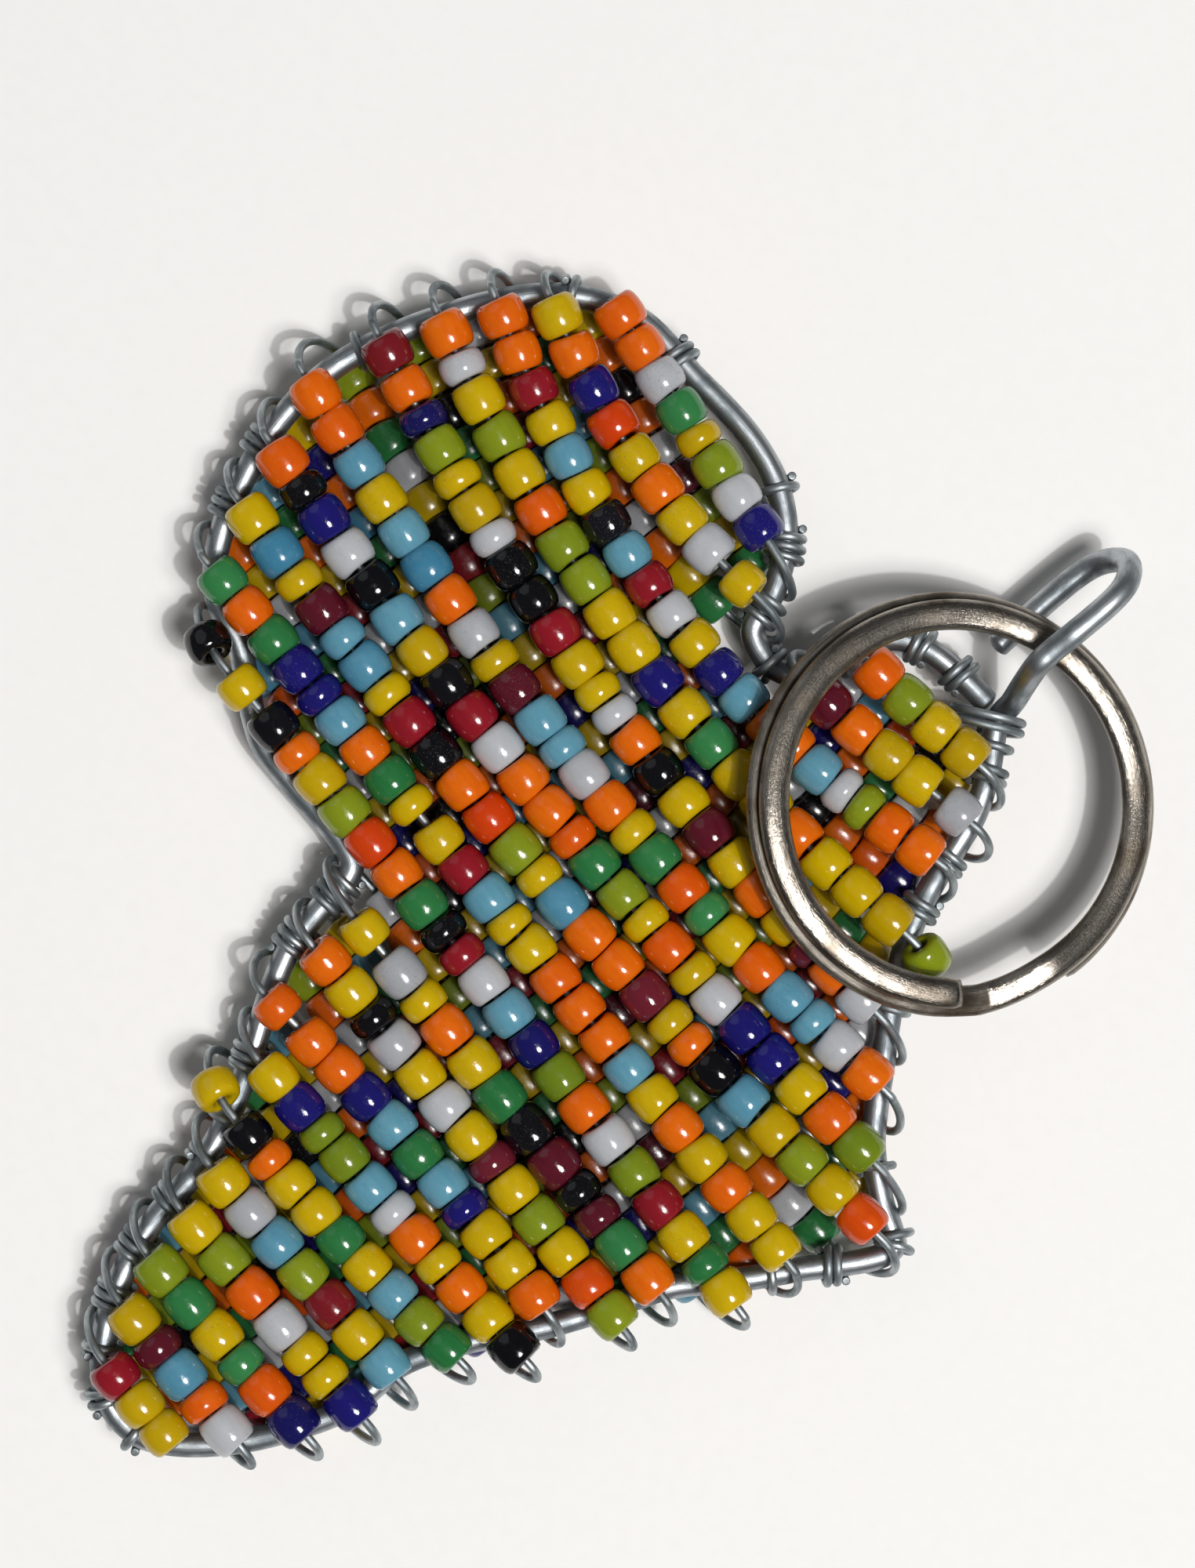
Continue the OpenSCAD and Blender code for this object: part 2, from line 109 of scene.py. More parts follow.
# Each light: the setting with its power, its width and its place to the right, above and up
# as the camera sees it, in metres, and its tint
LIGHTS = {
    "Soft_light": ("soft", 0.33, (0.27168, -0.192, 0.96), (1.0, 0.985, 0.97)),
    "Small_lamp": ("lamp", 0.029, (0.2547, -0.18, 0.9), (1.0, 0.99, 0.98)),
    "Fill_light": ("fill", 1.2, (-0.68, 0.6, 0.9), (0.94, 0.97, 1.0)),
}
ROOM_TINT = (0.86, 0.88, 0.92)

# The body that each node rides on, and its material slot
BODY_OF = {
    node: body
    for body, nodes in frame["record"]["behaviour"]["bodies"].items()
    for node in nodes
}
SLOT_OF = {row["node"]: row["material_slot"] for row in frame["record"]["subparts"]}


def linear(text):
    """A hex colour as it looks on screen, as the three linear values that a shader takes."""
    parts = [int(text[i : i + 2], 16) / 255 for i in (1, 3, 5)]
    return [p / 12.92 if p <= 0.04045 else ((p + 0.055) / 1.055) ** 2.4 for p in parts]


# ---------------------------------------------------------------- sizes and colours


def colour(name, about, text):
    return FloatVectorProperty(
        name=name, description=about, subtype="COLOR", size=3, min=0, max=1, default=linear(text)
    )


def length(name, about, default, low, high):
    return FloatProperty(
        name=name, description=about, unit="LENGTH", precision=5,
        default=default * MM, min=low * MM, max=high * MM,
    )


def share(name, about, default):
    return FloatProperty(
        name=name, description=about, subtype="FACTOR", default=default, min=0, max=1
    )


def number(name, about, default, low, high):
    return FloatProperty(name=name, description=about, default=default, min=low, max=high)


def angle(name, about, degrees, low, high):
    return FloatProperty(
        name=name, description=about, subtype="ANGLE",
        default=math.radians(degrees), min=math.radians(low), max=math.radians(high),
    )


def power(name, about, default):
    return FloatProperty(name=name, description=about, unit="POWER", default=default, min=0)


def count(name, about, default, low, high):
    return IntProperty(name=name, description=about, default=default, min=low, max=high)


class KEYRING_PG_beads(bpy.types.PropertyGroup):
    """Shape of the seed beads."""

    bore: length("Bore radius", "Radius of the hole through a bead", 0.46, 0.3, 0.7)
    swell: share("Plump front", "How much thicker than the usual the thickest front bead is", 0.045)
    shrink: share("Smaller beads", "How much thinner than the thickest the thinnest bead is", 0.06)
    oval: share("Out of round", "How far a bead's section is from a circle", 0.03)
    tilt: angle("Tilt", "How far a bead leans on its wire", 3, 0, 8)
    slant: share("Slant", "How much longer a bead may be on one side", 0.09)
    squareness: number(
        "Squareness", "Section of a long bead: 2 is round, larger is more of a barrel", 2.36, 2, 5
    )
    roundness: number("Short squareness", "Section of a short, doughnut-like bead", 2.1, 2, 5)
    lip: number("Lip squareness", "Section of a bead towards its hole", 5, 2, 8)
    short: length("Short half", "Half length of a bead that is a full doughnut", 0.75, 0.3, 2)
    long: length("Long half", "Half length of a bead that is a full barrel", 1.15, 0.3, 2)
    middle: length("Panel middle", "Height of the panel's middle above the table", 3.9, 1, 8)
    # Grime and painted shade darken a bead round its hole, where it meets the next bead
    rim: length("Grimy rim", "How far the grime reaches from the hole", 0.35, 0.1, 1)
    around: count("Steps around", "Mesh steps round a bead", 24, 8, 64)
    section: count("Section steps", "Mesh steps round a bead's section", 16, 8, 48)


class KEYRING_PG_glass(bpy.types.PropertyGroup):
    """The ten glass colours, and the shade that the odd bead of each one has."""

    orange: colour("Orange", "Usual orange glass", "#de6803")
    orange_odd: colour("Red orange", "The odd orange bead", "#c73704")
    yellow: colour("Yellow", "Usual yellow glass", "#c5a500")
    yellow_odd: colour("Mustard", "The odd yellow bead", "#ae8e02")
    sky: colour("Sky", "Usual sky blue glass", "#6097ab")
    sky_odd: colour("Deep sky", "The odd sky blue bead", "#367797")
    navy: colour("Navy", "Usual navy glass", "#191569")
    navy_odd: colour("Dark navy", "The odd navy bead", "#110f4b")
    green: colour("Green", "Usual green glass", "#226a36")
    green_odd: colour("Light green", "The odd green bead", "#388149")
    lime: colour("Lime", "Usual lime glass", "#818f19")
    lime_odd: colour("Dull lime", "The odd lime bead", "#687d17")
    white: colour("White", "Usual white glass", "#b6b8bc")
    white_odd: colour("Grey white", "The odd white bead", "#a0a2a7")
    black: colour("Black", "Usual black glass", "#050508")
    black_odd: colour("Soft black", "The odd black bead", "#101016")
    red: colour("Red", "Usual red glass", "#8c1422")
    red_odd: colour("Dark red", "The odd red bead", "#70151d")
    maroon: colour("Maroon", "Usual maroon glass", "#521120")
    maroon_odd: colour("Rose maroon", "The odd maroon bead", "#671c2a")
    streaks: share("Streaks", "How much the streaks along a bead colour it", 0.28)
    clouds: share("Clouds", "How much the pale clouds in the glass colour it", 0.22)
    specks: share("Dust specks", "How much the specks of dust colour a bead", 0.55)
    # Grime and painted shade round the hole, where a bead meets the next one
    grime_and_shade: share("Grimy hole", "How much the grime round the hole darkens a bead", 0.6)
    # Painted shade: beads are darkened towards the panel's middle, where the front beads shade the
    # back ones
    depth: share("Depth", "How much darker beads are towards the panel's middle", 0.86)
    gloss: share("Pale gloss", "Roughness of clean pale glass", 0.13)
    dark_gloss: share("Dark gloss", "Roughness of clean dark glass", 0.07)
    smudges: share("Smudges", "Roughness that finger marks add", 0.14)
    coat: share("Clear coat", "Strength of the clear coat of the outer beads", 0.2)


class KEYRING_PG_wire(bpy.types.PropertyGroup):
    """Wires and their zinc coat."""

    outline_radius: length("Outline radius", "Radius of the thick outline wire", 0.75, 0.5, 1.2)
    thin_radius: length("Thin radius", "Radius of the beading wire", 0.26, 0.15, 0.4)
    smoothing: count("Smoothing", "New points between two bends", 4, 1, 12)
    sides: count("Sides", "Mesh sides round the outline wire", 20, 8, 48)
    thin_sides: count("Thin sides", "Mesh sides round a thin wire", 12, 6, 32)
    zinc: colour("Zinc", "Zinc coat of the outline wire", "#b2b7bb")
    zinc_dull: colour("Dull zinc", "Weathered zinc", "#7c8489")
    thin_zinc: colour("Thin wire zinc", "Coat of the thin wire", "#b3babd")
    thin_dull: colour("Thin wire dull", "Dull stretches of the thin wire", "#7a8387")
    rough: share("Roughness", "Roughness of the outline wire's clean zinc", 0.3)
    thin_rough: share("Thin roughness", "Roughness of the thin wire's clean zinc", 0.36)
    lines: share("Draw lines", "How much the lines of drawing show on the zinc", 0.5)
    pits: share("Pits", "How much the pits show on the zinc", 0.6)


class KEYRING_PG_ring(bpy.types.PropertyGroup):
    """The split ring."""

    band: length("Band", "Width of the strip", 1.84, 1.2, 3)
    coil: length("Coil", "Thickness of one coil", 0.95, 0.6, 1.4)
    nickel: colour("Nickel", "Bright nickel plate", "#a9a298")
    tarnish: colour("Tarnish", "Dull, warm tarnish on the plate", "#5d5347")
    # Dark colour of the pits, and of the dirt and painted shade in the groove between the two coils
    grime_and_shade: colour("Grime", "Dirt between the two coils", "#1f1b17")
    flatness: number("Flatness", "Section of the strip across: 2 is round", 2.2, 2, 5)
    smoothing: count("Smoothing", "New points between two bends", 3, 1, 12)
    sides: count("Sides", "Mesh sides round the strip", 24, 8, 48)
    rough: share("Roughness", "Roughness of clean plate", 0.1)
    lines: share("Scratches", "How much the long scratches show on the plate", 0.6)
    pits: share("Pits", "How much the pits show on the plate", 0.7)
    # Dirt and painted shade in the groove between the coils
    dirt_and_shade: share("Dirt", "How much dirt lies in the groove", 0.85)


class KEYRING_PG_stage(bpy.types.PropertyGroup):
    """Camera, lights and floor."""

    roll: angle("Roll", "Turn of the picture about the line of sight", 50, -180, 180)
    across: length("Middle east", "East place of the picture's middle", -1.1, -50, 50)
    up: length("Middle north", "North place of the picture's middle", 7.1, -50, 50)
    tall: length("Picture height", "Height of what the picture shows", 93, 50, 200)
    distance: length("Camera distance", "From the camera to the beads", 260, 100, 1000)
    floor: colour("Floor", "Colour of the pale floor", "#f6f5f3")
    floor_size: length("Floor size", "Radius of the floor", 1500, 500, 5000)
    soft: power("Soft light", "Power of the soft main light", 6.9)
    lamp: power("Lamp", "Power of the small lamp within it", 2.6)
    fill: power("Fill", "Power of the wide, weak light", 1.1)
    room: share("Room light", "Brightness of the room all round", 0.09)


GROUPS = {
    "beads": KEYRING_PG_beads,
    "glass": KEYRING_PG_glass,
    "wire": KEYRING_PG_wire,
    "ring": KEYRING_PG_ring,
    "stage": KEYRING_PG_stage,
}


def settings(group):
    return getattr(bpy.context.scene, "keyring_" + group)


# ---------------------------------------------------------------- shader building


class Value:
    """A number that varies over a surface. Python sums on it add Math nodes."""

    def __init__(self, finish, socket):
        self.finish = finish
        self.socket = socket

    def _math(self, operation, *others):
        sockets = dict(enumerate([self, *others]))
        return self.finish.add("ShaderNodeMath", {"operation": operation}, sockets)

    def __add__(self, other):
        return self._math("ADD", other)

    def __sub__(self, other):
        return self._math("SUBTRACT", other)

    def __mul__(self, other):
        return self._math("MULTIPLY", other)

    def __rsub__(self, other):
        return self.finish.add("ShaderNodeMath", {"operation": "SUBTRACT"}, {0: other, 1: self})

    __radd__ = __add__
    __rmul__ = __mul__

    def between(self, low, high):
        """0 below low, 1 above high, and smooth in between."""
        return self.finish.add(
            "ShaderNodeMapRange", {"interpolation_type": "SMOOTHSTEP"},
            {"Value": self, "From Min": low, "From Max": high},
        )


class Finish:
    """A material being made: one Principled shader and the nodes that feed it."""

    def __init__(self, name, **constants):
        self.material = bpy.data.materials.new(name)
        self.material.use_nodes = True
        self.tree = self.material.node_tree
        self.tree.nodes.clear()
        self.shader = self.tree.nodes.new("ShaderNodeBsdfPrincipled")
        output = self.tree.nodes.new("ShaderNodeOutputMaterial")
        self.tree.links.new(self.shader.outputs["BSDF"], output.inputs["Surface"])
        self.set(**constants)

    def feed(self, socket, value):
        """Puts a link or a plain value into a socket."""
        if isinstance(value, Value):
            self.tree.links.new(value.socket, socket)
        else:
            socket.default_value = value

    def add(self, kind, options, sockets, out=0):
        """Adds a node, its settings before its sockets, and gives one of its outputs."""
        node = self.tree.nodes.new(kind)
        for key, value in options.items():
            setattr(node, key, value)
        for key, value in sockets.items():
            self.feed(node.inputs[key], value)
        return Value(self, node.outputs[out])

    def attribute(self, name, out="Fac"):
        return self.add("ShaderNodeAttribute", {"attribute_name": name}, {}, out)

    def stretched(self, vector, scale):
        """A place in space scaled differently along its three axes."""
        return self.add("ShaderNodeVectorMath", {"operation": "MULTIPLY"}, {0: vector, 1: scale})

    def noise(self, vector, scale, detail=2.0, roughness=0.5):
        return self.add(
            "ShaderNodeTexNoise", {},
            {"Vector": vector, "Scale": scale, "Detail": detail, "Roughness": roughness},
        )

    def blend(self, factor, first, second):
        """One colour turning into another."""
        as_colour = [v if isinstance(v, Value) else (*v, 1.0) for v in (first, second)]
        return self.add(
            "ShaderNodeMix", {"data_type": "RGBA"},
            {"Factor": factor, 6: as_colour[0], 7: as_colour[1]}, out=2,
        )

    def bump(self, height, strength, distance):
        return self.add(
            "ShaderNodeBump", {}, {"Height": height, "Strength": strength, "Distance": distance}
        )

    def set(self, **feeds):
        """Puts numbers or links into the shader's own sockets, and gives the finished material."""
        for key, value in feeds.items():
            socket = key.replace("_", " ").title().replace("Ior", "IOR")
            self.feed(self.shader.inputs[socket], value)
        return self.material


def glass_finish(name):
    """Opaque pressed glass, made once for each colour: streaks, dust, grime and painted shade round
    the hole, and painted shade towards the panel's middle.
    """
    title = name + "_glass_finish"
    if title in bpy.data.materials:
        return bpy.data.materials[title]
    glass = settings("glass")
    usual, odd = list(getattr(glass, name)), list(getattr(glass, name + "_odd"))
    paler = [min(1.0, c * 1.25 + 0.01) for c in usual]
    # Grime and painted shade: the colour round the hole, where a bead meets the next one
    grimy_and_shaded = [c * 0.35 for c in usual]
    # Painted shade: the colour that beads turn towards the panel's middle
    painted_shade = [c * 0.16 + 0.002 for c in usual]
    dust_colour = PALE_DUST if name in DARK_GLASS else DARK_DUST
    gloss = glass.dark_gloss if name in DARK_GLASS else glass.gloss

    made = Finish(title, ior=GLASS_IOR, coat_roughness=0.05, coat_ior=GLASS_IOR)
    place = made.attribute("bead_place", "Vector")
    dust = made.attribute("bead_dust")
    # Mask of the grime and painted shade round the hole
    rim = made.attribute("bead_rim").between(0.25, 1.0)
    # Painted shade mask, strongest at the panel's middle height
    depth_shade_mask = made.attribute("bead_depth").between(0.5, 0.95)
    streaks = made.noise(made.stretched(place, ALONG_A_BEAD), scale=2.6, detail=3.0)
    clouds = made.noise(place, scale=0.9, detail=1.0)
    specks = made.noise(place, scale=11.0, roughness=0.6).between(0.6, 0.7) * dust
    smudges = made.noise(place, scale=3.5, detail=3.0, roughness=0.65)
    waves = made.noise(place, scale=1.7) + made.noise(place, scale=9.0) * 0.12

    body = made.blend(made.attribute("bead_shade"), usual, odd)
    body = made.blend(streaks.between(0.35, 0.8) * glass.streaks, body, odd)
    body = made.blend(clouds.between(0.5, 0.85) * glass.clouds, body, paler)
    body = made.blend(specks * glass.specks, body, dust_colour)
    # Grime and painted shade round the hole
    body = made.blend(rim * glass.grime_and_shade, body, grimy_and_shaded)
    # Painted shade towards the panel's middle
    body = made.blend(depth_shade_mask * glass.depth, body, painted_shade)
    rough = smudges.between(0.4, 0.8) * glass.smudges + specks * 0.3 + depth_shade_mask * 0.12 + gloss
    coat = glass.coat * (1.0 - depth_shade_mask)
    bumps = made.bump(waves, strength=0.35, distance=0.06 * MM)
    return made.set(base_color=body, roughness=rough, coat_weight=coat, normal=bumps)


def wire_finish(name, bright, dull, rough):
    """Drawn, zinc-coated steel wire: lengthwise draw lines, dull patches and bright rubs."""
    wire = settings("wire")
    made = Finish(name, metallic=1.0)
    along = made.attribute("wire_place", "Vector")
    drawn = made.stretched(along, ALONG_A_WIRE)
    lines = made.noise(drawn, scale=1.6, detail=3.0, roughness=0.6)
    patches = made.noise(along, scale=0.45, detail=3.0, roughness=0.6)
    pits = made.noise(along, scale=7.0, roughness=0.6)

    coat = made.blend(patches.between(0.35, 0.7), bright, dull)
    coat = made.blend(lines.between(0.52, 0.75) * wire.lines, coat, [c * 0.5 for c in dull])
    coat = made.blend(pits.between(0.62, 0.75) * wire.pits, coat, [c * 0.3 for c in dull])
    gloss = patches.between(0.3, 0.75) * 0.2 + lines * 0.16 + rough
    height = lines * 0.6 + pits * 0.25 + patches * 0.6
    bumps = made.bump(height, strength=0.4, distance=0.05 * MM)
    return made.set(base_color=coat, roughness=gloss, normal=bumps)


def nickel_finish():
    """Worn nickel plate: long scratches round the strip, warm tarnish, and dirt with painted shade
    in the groove between the coils.
    """
    ring = settings("ring")
    tarnish, grime_and_shade = list(ring.tarnish), list(ring.grime_and_shade)
    made = Finish("nickelled_steel", metallic=1.0)
    along = made.attribute("wire_place", "Vector")
    groove = made.attribute("ring_groove")
    worn = made.stretched(along, ALONG_THE_STRIP)
    scored = made.stretched(along, ACROSS_THE_STRIP)
    lines = made.noise(worn, scale=1.8, detail=4.0, roughness=0.65)
    scratches = made.noise(scored, scale=3.0, roughness=0.7)
    patches = made.noise(along, scale=0.28, detail=3.0, roughness=0.55)
    pits = made.noise(along, scale=6.0, roughness=0.6)

    plate = made.blend(patches.between(0.4, 0.72), list(ring.nickel), tarnish)
    plate = made.blend(lines.between(0.5, 0.72) * ring.lines, plate, tarnish)
    plate = made.blend(pits.between(0.62, 0.74) * ring.pits, plate, grime_and_shade)
    # Dirt and painted shade on the faces where the two coils meet
    plate = made.blend(groove.between(0.35, 1.0) * ring.dirt_and_shade, plate, grime_and_shade)
    gloss = patches.between(0.4, 0.75) * 0.16 + lines * 0.18 + groove * 0.3 + ring.rough
    height = lines * 0.5 + scratches * 0.5 + pits * 0.3
    bumps = made.bump(height, strength=0.5, distance=0.05 * MM)
    return made.set(base_color=plate, roughness=gloss, normal=bumps)


def floor_finish(tint):
    """Matt pale card."""
    made = Finish("pale_floor", specular_ior_level=0.2)
    place = made.add("ShaderNodeTexCoord", {}, {}, "Object")
    grain = made.noise(place, scale=900.0, detail=3.0, roughness=0.6)
    card = made.blend(grain.between(0.3, 0.8) * 0.12, tint, [c * 0.86 for c in tint])
    rough = grain * 0.1 + 0.75
    bumps = made.bump(grain, strength=0.1, distance=0.02 * MM)
    return made.set(base_color=card, roughness=rough, normal=bumps)


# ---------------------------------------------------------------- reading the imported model


def solids_of(node):
    """A CAD node's separate solids, each as its points and its triangles."""
    bm = bmesh.new()
    bm.from_mesh(frame["nodes"][node].data)
    bmesh.ops.remove_doubles(bm, verts=bm.verts, dist=SAME_POINT)
    bmesh.ops.triangulate(bm, faces=bm.faces)
    points = np.array([v.co for v in bm.verts])
    faces = np.array([[v.index for v in f.verts] for f in bm.faces])
    bm.free()
    label = np.arange(len(points))
    while True:
        lowest = label[faces].min(axis=1)
        merged = label.copy()
        np.minimum.at(merged, faces.ravel(), np.repeat(lowest, 3))
        merged = merged[merged]
        if (merged == label).all():
            break
        label = merged
    found = []
    for first in np.unique(label):
        inside = label == first
        place = np.cumsum(inside) - 1
        found.append((points[inside], place[faces[inside[faces[:, 0]]]]))
    return found


def unit(v):
    return v / np.linalg.norm(v, axis=-1, keepdims=True)


def bead_place(points, faces):
    """A bead's middle, the way its hole runs, its half length and its radius."""
    a, b, c = (points[faces[:, k]] for k in range(3))
    cross = np.cross(b - a, c - a)
    area = np.linalg.norm(cross, axis=1) + 1e-18
    volume = np.einsum("ij,ij->i", a, cross)
    middle = ((a + b + c) * volume[:, None]).sum(axis=0) / (4 * volume.sum())
    normal = cross / area[:, None]
    level_with = (np.abs(normal @ normal.T) > 0.9995) @ area
    along = normal[level_with.argmax()]
    if along[0] < 0:
        along = -along
    out = points - middle
    reach = out @ along
    radius = np.linalg.norm(out - np.outer(reach, along), axis=1).max()
    return middle, along, (reach.max() - reach.min()) / 2, radius


def end_ring(points, faces, sides):
    """The corner numbers of one flat end of a swept solid: a plane face with that many corners."""
    a, b, c = (points[faces[:, k]] for k in range(3))
    normal = unit(np.cross(b - a, c - a) + 1e-18)
    for k in range(len(faces)):
        level = np.abs((points[faces] - points[faces[k, 0]]) @ normal[k]).max(axis=1)
        flat = (np.abs(normal @ normal[k]) > 0.9999) & (level < 2 * SAME_POINT)
        corners = np.unique(faces[flat])
        spread = np.linalg.norm(points[corners] - points[corners].mean(axis=0), axis=1)
        if flat.sum() == sides - 2 and len(corners) == sides and spread.max() < 1.6 * spread.min():
            return corners
    raise RuntimeError("a wire's end was not found")


def centre_line(points, faces, sides):
    """The middle of each ring of corners along a swept solid, from end to end."""
    joined = [set() for _ in points]
    for face in faces:
        for i in face:
            joined[i].update(face)
    ring = set(end_ring(points, faces, sides))
    seen, line = set(ring), []
    while ring:
        line.append(points[sorted(ring)].mean(axis=0))
        ring = set().union(*(joined[i] for i in ring)) - seen
        seen |= ring
    return np.array(line)


# ---------------------------------------------------------------- meshes


def new_piece(name, points, faces, finish, node, values=None, vectors=None):
    """A smooth mesh piece that stands for one CAD node and rides on that node's body."""
    mesh = bpy.data.meshes.new(name)
    mesh.from_pydata([tuple(p) for p in points], [], faces)
    mesh.shade_smooth()
    for key, data in (values or {}).items():
        layer = mesh.attributes.new(key, "FLOAT", "POINT")
        layer.data.foreach_set("value", np.array(data, np.float32))
    for key, data in (vectors or {}).items():
        layer = mesh.attributes.new(key, "FLOAT_VECTOR", "POINT")
        layer.data.foreach_set("vector", np.array(data, np.float32).ravel())
    mesh.materials.append(finish)
    mesh.update()
    piece = bpy.data.objects.new(name, mesh)
    bpy.context.scene.collection.objects.link(piece)
    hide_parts(node)
    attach(piece, BODY_OF[node])
    return piece


def signed_power(x, p):
    return math.copysign(abs(x) ** p, x)


def bead_section(half, outer, bore, squareness, lip, steps):
    """Half a bead's section as (radius, height) points: round shoulders and a tight lip."""
    middle, wide = (outer + bore) / 2, (outer - bore) / 2
    ring = []
    for k in range(steps):
        a = math.tau * (k + 0.5) / steps
        curve = 2 / (squareness if math.cos(a) > 0 else lip)
        ring.append((
            middle + wide * signed_power(math.cos(a), curve),
            half * signed_power(math.sin(a), curve),
        ))
    return ring


def grid_faces(rows, columns, first=0, closed=False):
    """Four-sided faces between rows of points, each row a closed ring of so many columns."""
    return [
        [
            first + i * columns + k,
            first + i * columns + (k + 1) % columns,
            first + (i + 1) % rows * columns + (k + 1) % columns,
            first + (i + 1) % rows * columns + k,
        ]
        for i in range(rows if closed else rows - 1)
        for k in range(columns)
    ]


def tube_faces(rows, columns):
    """Faces of a tube of rings of points, with a flat face at each end."""
    last = (rows - 1) * columns
    return [
        *grid_faces(rows, columns),
        list(range(columns))[::-1],
        list(range(last, last + columns)),
    ]


def run_along(line):
    """How far along a line each of its points is."""
    return np.concatenate([[0.0], np.linalg.norm(np.diff(line, axis=0), axis=1).cumsum()])


def bead_piece(node, finish, swell=0.0):
    """All the beads of one CAD node as one piece, each a little different from the next."""
    beads = settings("beads")
    chance = random.Random(node)
    points, faces, place, shade, dust, rim, depth = [], [], [], [], [], [], []
    # Loose beads get no painted shade; the panel's beads get it towards the panel's middle
    painted_shade = 0.0 if node.startswith("loose") else 1.0
    for middle, along, half, radius in [bead_place(*solid) for solid in solids_of(node)]:
        lean = [chance.uniform(-1, 1) * math.tan(beads.tilt) for _ in range(3)]
        along = unit(along + np.array(lean))
        side = unit(np.cross(along, (0.0, 0.0, 1.0)))
        over = np.cross(along, side)
        outer = radius * (1 + swell - beads.shrink * chance.random())
        oval = 1 - beads.oval * chance.random()
        turn = chance.uniform(0, math.tau)
        barrel = min(1.0, max(0.0, (half - beads.short) / (beads.long - beads.short)))
        square = beads.roundness + barrel * (beads.squareness - beads.roundness)
        square += chance.uniform(-0.1, 0.3)
        slant = chance.uniform(-beads.slant, beads.slant)
        section = bead_section(half, outer, beads.bore, square, beads.lip, beads.section)
        odd = chance.random() ** RARENESS
        dusty = max(0.0, chance.uniform(-0.6, 1.0))
        offset = np.array([chance.uniform(0, 90) for _ in range(3)])
        quads = grid_faces(beads.around, beads.section, first=len(points), closed=True)
        faces += [[a, d, c, b] for a, b, c, d in quads]
        for k in range(beads.around):
            a = math.tau * k / beads.around
            x, y = math.cos(a), oval * math.sin(a)
            for r, z in section:
                at = np.array([x * r, y * r, z * (1 + slant * math.cos(a - turn))])
                point = middle + side * at[0] + over * at[1] + along * at[2]
                points.append(point)
                place.append(at / MM + offset)
                shade.append(odd)
                dust.append(dusty)
                # Grime and painted shade round the hole: 1 at the bore, falling to 0 at the rim's
                # reach from it
                rim.append(max(0.0, 1 - (r - beads.bore) / beads.rim))
                # Painted shade: 1 at the panel's middle height, 0 at the table and at twice that
                # height
                depth.append(painted_shade * (1 - abs(point[2] - beads.middle) / beads.middle))
    values = {"bead_shade": shade, "bead_dust": dust, "bead_rim": rim, "bead_depth": depth}
    return new_piece(
        node + "_glass", points, faces, finish, node, values, {"bead_place": place}
    )


def smooth_line(line, steps):
    """A curve through every point of a line."""
    out = []
    last = len(line) - 1
    for i in range(last):
        a, b, c, d = (line[min(max(i + k, 0), last)] for k in (-1, 0, 1, 2))
        for k in range(steps):
            t = k / steps
            out.append(0.5 * (
                2 * b + (c - a) * t + (2 * a - 5 * b + 4 * c - d) * t * t
                + (3 * b - a - 3 * c + d) * t ** 3
            ))
    return np.array([*out, line[last]])


def wire_mesh(line, radius, sides, chance, ends):
    """A round wire along a line: its points, its faces and each point's place on the wire."""
    way = unit(np.gradient(line, axis=0))
    across = (0.0, 0.0, 1.0) if abs(way[0][2]) < 0.8 else (1.0, 0.0, 0.0)
    side = unit(np.cross(way[0], across))
    gone = run_along(line)
    offset = chance.uniform(0, 500)
    rings = [
        (line[0] - way[0] * radius * past, way[0], radius * thick, gone[0]) for past, thick in ends
    ]
    rings += [(at, t, radius, run) for at, t, run in zip(line, way, gone)]
    rings += [
        (line[-1] + way[-1] * radius * past, way[-1], radius * thick, gone[-1])
        for past, thick in reversed(ends)
    ]
    points, place = [], []
    for at, t, r, run in rings:
        side = unit(side - (side @ t) * t)
        over = np.cross(t, side)
        for k in range(sides):
            a = math.tau * k / sides
            points.append(at + r * (math.cos(a) * side + math.sin(a) * over))
            place.append((run / MM + offset, math.cos(a), math.sin(a)))
    return points, tube_faces(len(rings), sides), place


def wire_piece(node, finish, radius, corners, sides, ends):
    """The wires of one CAD node as smooth round wires on the same lines."""
    chance = random.Random(node)
    steps = settings("wire").smoothing
    points, faces, place = [], [], []
    for solid in solids_of(node):
        line = smooth_line(centre_line(*solid, corners), steps)
        more_points, more_faces, more_place = wire_mesh(line, radius, sides, chance, ends)
        faces += [[k + len(points) for k in face] for face in more_faces]
        points += more_points
        place += more_place
    return new_piece(node + "_drawn", points, faces, finish, node, vectors={"wire_place": place})


def strip_section(wide, thick, flatness, steps):
    """The split ring's strip as (across, up) points: an oval, a little flattened."""
    turns = [math.tau * k / steps for k in range(steps)]
    return [
        (wide / 2 * signed_power(math.cos(a), 2 / flatness), thick / 2 * math.sin(a)) for a in turns
    ]


def ring_axis(line):
    """The middle of the circle that a ring's line lies on, and the way its axis runs, upwards."""
    centre = line.mean(axis=0)
    normal = np.linalg.svd(line - centre)[2][2]
    if normal[2] < 0:
        normal = -normal
    flat = line - np.outer((line - centre) @ normal, normal)
    rows = np.c_[2 * flat, np.ones(len(flat))]
    middle = np.linalg.lstsq(rows, (flat ** 2).sum(axis=1), rcond=None)[0][:3]
    return middle + ((centre - middle) @ normal) * normal, normal


